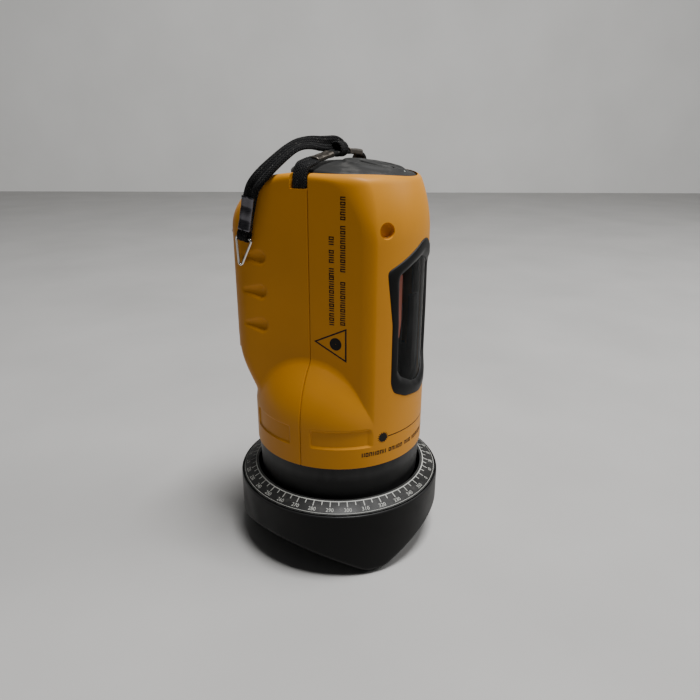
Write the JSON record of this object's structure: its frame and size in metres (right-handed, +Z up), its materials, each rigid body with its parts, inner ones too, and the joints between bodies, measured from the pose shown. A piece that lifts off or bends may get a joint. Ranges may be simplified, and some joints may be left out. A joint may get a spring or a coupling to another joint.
{
  "type": "self-levelling cross line laser",
  "caption": "Hand-sized line laser: yellow clamshell head with a wrist strap and a window, turning on a low graduated base with a tripod thread.",
  "frame": {"origin": "on the table under the turning axis, which is the centre of the round base", "axes": "+Z up along the turning axis; the laser window faces -Y, the battery door faces +Y and the flat sides face -X and +X"},
  "size_m": [0.0968, 0.0968, 0.184],
  "materials": {
    "yellow": "fine satin moulding",
    "base_grey": "satin",
    "dial_grey": "satin with pale printed scale",
    "black_plastic": "satin",
    "pad_black": "matte",
    "rubber": "matte",
    "steel": "satin",
    "alloy": "die-cast",
    "brass": "turned",
    "clear": "polished",
    "lamp": "diffuse",
    "board": "solder mask",
    "cell": "printed sleeve",
    "strap": "ribbed woven tape"
  },
  "bodies": {
    "base": {"base_housing": "base_grey", "dial_ring": "dial_grey", "base_cover": "black_plastic", "tripod_insert": "brass", "cover_screws": "steel", "rubber_feet": "rubber", "pivot_bush": "brass", "friction_washer": "rubber"},
    "head": {"swivel_collar": "black_plastic", "pivot_shaft": "steel", "shaft_nut": "steel", "front_shell": "yellow", "rear_shell": "yellow", "upper_shell_screws": "steel", "lower_shell_screws": "steel", "window_bezel": "black_plastic", "window_lens": "clear", "beam_hood": "black_plastic", "top_pad": "pad_black", "status_lamp": "lamp", "keypad_board": "board", "tact_switch": "black_plastic", "battery_tray": "black_plastic", "battery_cells": "cell", "contact_springs": "steel", "contact_plates": "steel", "main_board": "board", "board_screws": "steel", "door_hinge_rod": "steel", "gimbal_bracket": "alloy", "bracket_screws": "steel", "roll_bearings": "steel", "magnet_holder": "black_plastic", "damping_magnets": "steel", "strap_pins": "steel", "cross_strap": "strap", "cross_ferrules": "black_plastic", "strap_knot": "strap", "main_strap": "strap", "strap_ferrule": "black_plastic", "strap_fold": "strap"},
    "gimbal": {"gimbal_ring": "alloy", "roll_pins": "steel", "pitch_pins": "steel"},
    "pendulum": {"pendulum_frame": "alloy", "pitch_bearings": "steel", "level_laser": "brass", "plumb_laser": "brass", "line_lenses": "clear", "counterweight": "brass"},
    "door": {"battery_door": "yellow"},
    "button": {"power_button": "pad_black"},
    "ring": {"wire_ring": "steel"}
  },
  "joints": [
    {"name": "head_swivel", "type": "hinge", "parent": "base", "child": "head", "pos_m": [0, 0, 0.03], "axis": [0, 0, 1], "continuous": true},
    {"name": "gimbal_roll", "type": "hinge", "parent": "head", "child": "gimbal", "pos_m": [0, -0.002, 0.146], "axis": [0, 1, 0], "range_deg": [-5, 5]},
    {"name": "gimbal_pitch", "type": "hinge", "parent": "gimbal", "child": "pendulum", "pos_m": [0, -0.002, 0.146], "axis": [1, 0, 0], "range_deg": [-5, 5]},
    {"name": "door_hinge", "type": "hinge", "parent": "head", "child": "door", "pos_m": [0, 0.0385, 0.147], "axis": [1, 0, 0], "range_deg": [0, 85]},
    {"name": "button_press", "type": "slide", "parent": "head", "child": "button", "axis": [0, 0, -1], "range_m": [0, 0.0008], "stiffness_N_per_m": 2000, "springref_m": -0.0003},
    {"name": "ring_swing", "type": "hinge", "parent": "head", "child": "ring", "pos_m": [-0.031, 0.02869, 0.14567], "axis": [0, 0.978, 0.2086], "range_deg": [-5, 120]}
  ]
}
